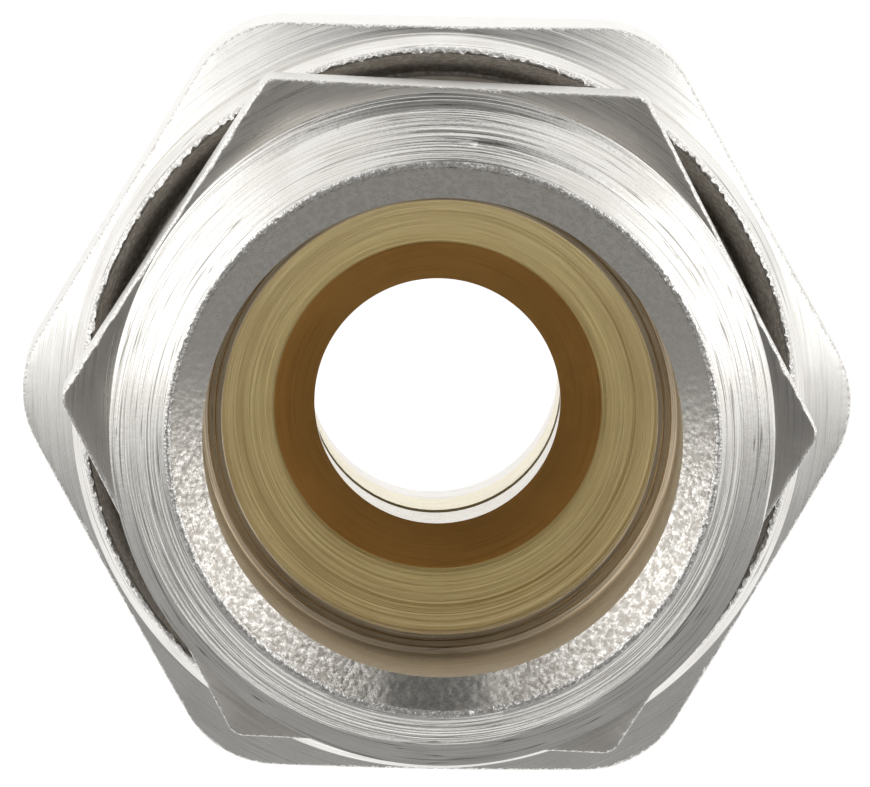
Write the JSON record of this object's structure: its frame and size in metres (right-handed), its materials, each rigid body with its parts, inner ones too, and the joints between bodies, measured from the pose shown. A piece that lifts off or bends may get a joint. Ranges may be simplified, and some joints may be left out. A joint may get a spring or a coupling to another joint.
{
  "type": "reducing compression coupling",
  "caption": "Nickel-plated reducing coupling: hexagon body with an open male thread end, and a compression nut that clamps a smaller tube through a brass sleeve and olive.",
  "frame": {"origin": "centre of the flat end of the nut's nose, on which the coupling stands", "axes": "+Z along the bore, from the nut's nose towards the open male end; +X through a corner of the nut's hexagon"},
  "size_m": [0.0266, 0.024, 0.0295],
  "materials": {
    "plated_body": "bright nickel plate over turned brass, with fine turning marks and rough burrs at the edges",
    "plated_nut": "bright nickel plate over turned brass, duller and browner in the tapered mouth",
    "sleeve_brass": "bare turned brass",
    "olive_brass": "bare turned brass"
  },
  "bodies": {
    "nut": {"compression_nut": "plated_nut", "olive": "olive_brass"},
    "sleeve": {"reducing_sleeve": "sleeve_brass"},
    "body": {"coupling_body": "plated_body"}
  },
  "joints": [
    {"name": "sleeve_lift", "type": "slide", "parent": "nut", "child": "sleeve", "axis": [0, 0, 1], "range_m": [0, 0.00472]},
    {"name": "body_turn", "type": "hinge", "parent": "sleeve", "child": "body", "pos_m": [0, 0, 0.015], "axis": [0, 0, 1], "range_deg": [0, 936]}
  ],
  "couplings": [
    {"joint": "body_turn", "follows": "sleeve_lift", "rad_per_m": 3463.1}
  ]
}
